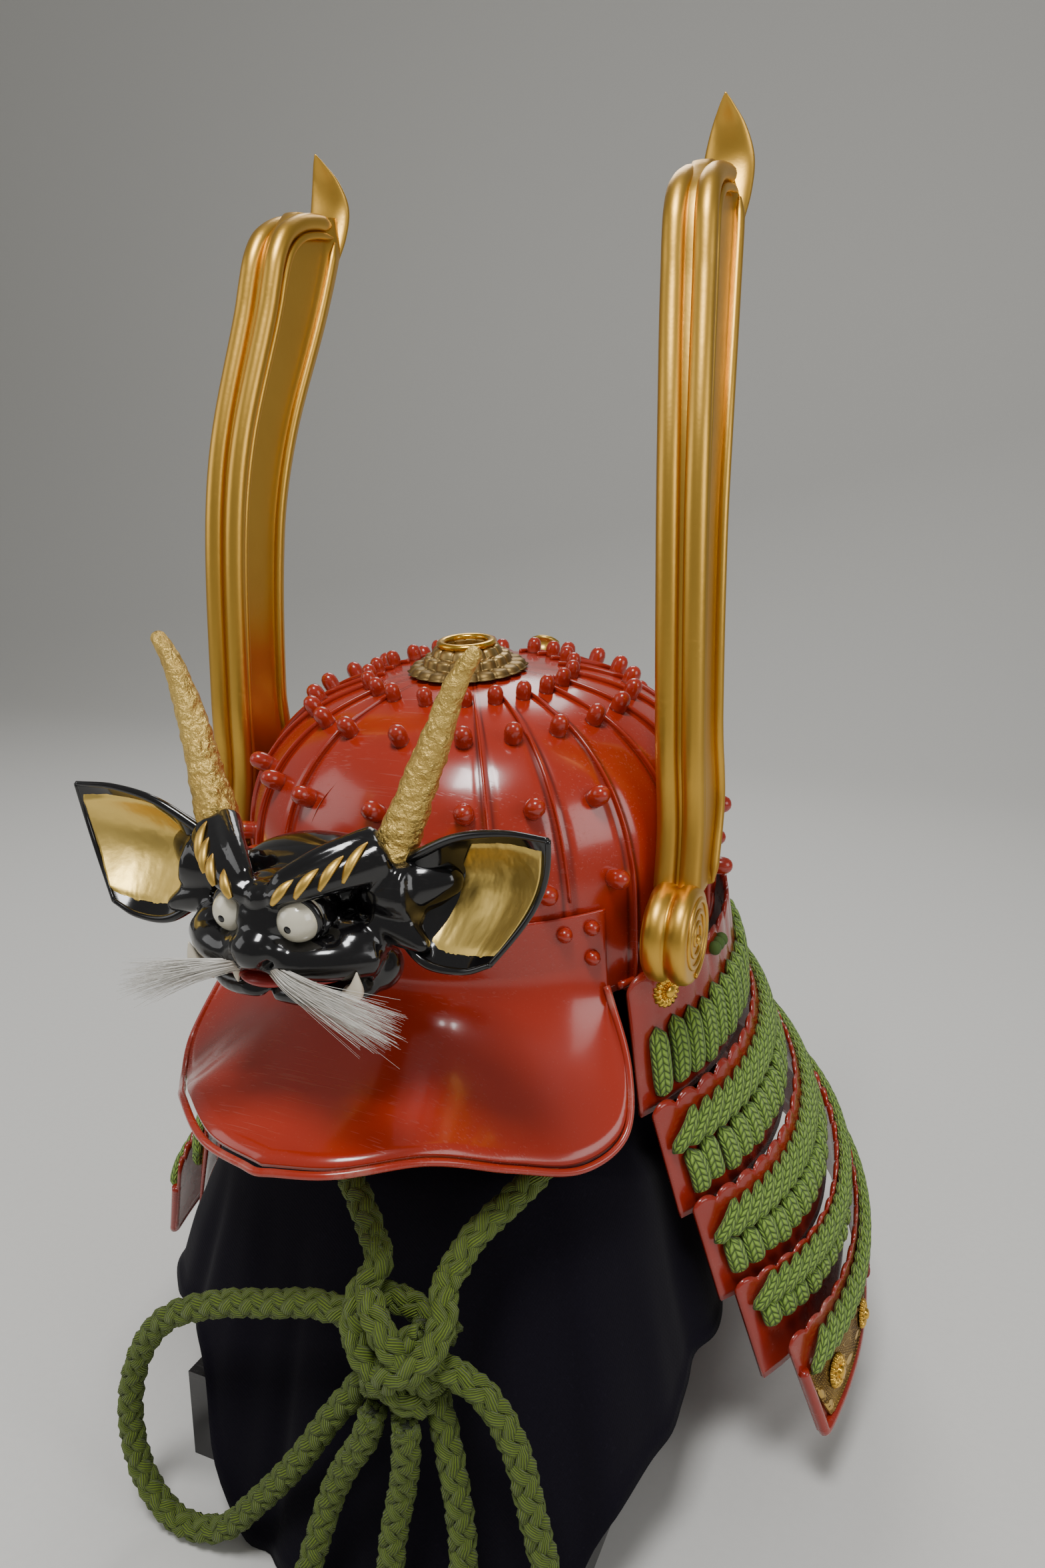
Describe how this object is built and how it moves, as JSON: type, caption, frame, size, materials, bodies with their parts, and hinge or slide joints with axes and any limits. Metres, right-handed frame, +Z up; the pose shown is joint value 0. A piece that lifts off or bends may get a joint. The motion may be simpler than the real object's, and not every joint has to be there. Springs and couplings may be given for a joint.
{
  "type": "samurai helmet on a draped stand",
  "caption": "Samurai helmet in vermilion lacquer with a beast mask, gilt side crests, laced neck guard and knotted green chin cord, on a low stand draped with purple cloth.",
  "frame": {"origin": "centre of the stand base's bottom face", "axes": "+Z up; the helmet faces -Y; +X is the wearer's left"},
  "size_m": [0.3762, 0.4336, 0.5847],
  "materials": {
    "vermilion_lacquer": "glossy lacquer with fine scratches",
    "black_lacquer": "glossy lacquer",
    "leaf_gold": "crinkled gold leaf",
    "satin_gold": "satin gilt",
    "antique_gold": "dark worn gilt",
    "bright_gold": "polished gilt",
    "ivory": "smooth glossy",
    "white_hair": "loose hair",
    "mouth_red": "glossy lacquer",
    "green_silk": "braided silk",
    "green_cord": "braided cord",
    "mixed_braid": "twisted silk of several colours",
    "red_braid": "braided silk",
    "purple_cloth": "matt woven cloth",
    "stand_black": "black lacquered wood",
    "pad_black": "matt cover"
  },
  "bodies": {
    "root": {"back_stud": "bright_gold", "beast_head": "black_lacquer", "bow_loop_left": "green_cord", "bow_loop_right": "green_cord", "bowl": "vermilion_lacquer", "chin_knot": "green_cord", "chin_strap_left": "green_cord", "chin_strap_right": "green_cord", "cord_tail_left": "green_cord", "cord_tail_right": "green_cord", "corner_plate_left": "antique_gold", "corner_plate_right": "antique_gold", "corner_stud_high_left": "bright_gold", "corner_stud_high_right": "bright_gold", "corner_stud_low_left": "bright_gold", "corner_stud_low_right": "bright_gold", "crest_seat_left": "satin_gold", "crest_seat_right": "satin_gold", "crown_ornament": "antique_gold", "crown_ring": "bright_gold", "ear_lining_left": "leaf_gold", "ear_lining_right": "leaf_gold", "eye_left": "ivory", "eye_right": "ivory", "fang_left": "ivory", "fang_right": "ivory", "front_stud_left": "bright_gold", "front_stud_right": "bright_gold", "front_tie_left": "green_silk", "front_tie_right": "green_silk", "horn_left": "leaf_gold", "horn_right": "leaf_gold", "lacing_loops_1": "green_silk", "lacing_loops_2": "green_silk", "lacing_loops_3": "green_silk", "lacing_loops_4": "green_silk", "lacing_mixed": "mixed_braid", "lacing_red": "red_braid", "lacing_slant_2": "green_silk", "lacing_slant_3": "green_silk", "lacing_slant_4": "green_silk", "lacing_slant_5": "green_silk", "mask_post": "black_lacquer", "mouth": "mouth_red", "neck_plate_1": "vermilion_lacquer", "neck_plate_2": "vermilion_lacquer", "neck_plate_3": "vermilion_lacquer", "neck_plate_4": "vermilion_lacquer", "neck_plate_5": "vermilion_lacquer", "side_crest_left": "satin_gold", "side_crest_right": "satin_gold", "stand_base": "stand_black", "stand_cloth": "purple_cloth", "stand_cushion": "pad_black", "stand_pad": "pad_black", "stand_post": "stand_black", "visor": "vermilion_lacquer", "whisker_left": "white_hair", "whisker_right": "white_hair"}
  },
  "joints": []
}
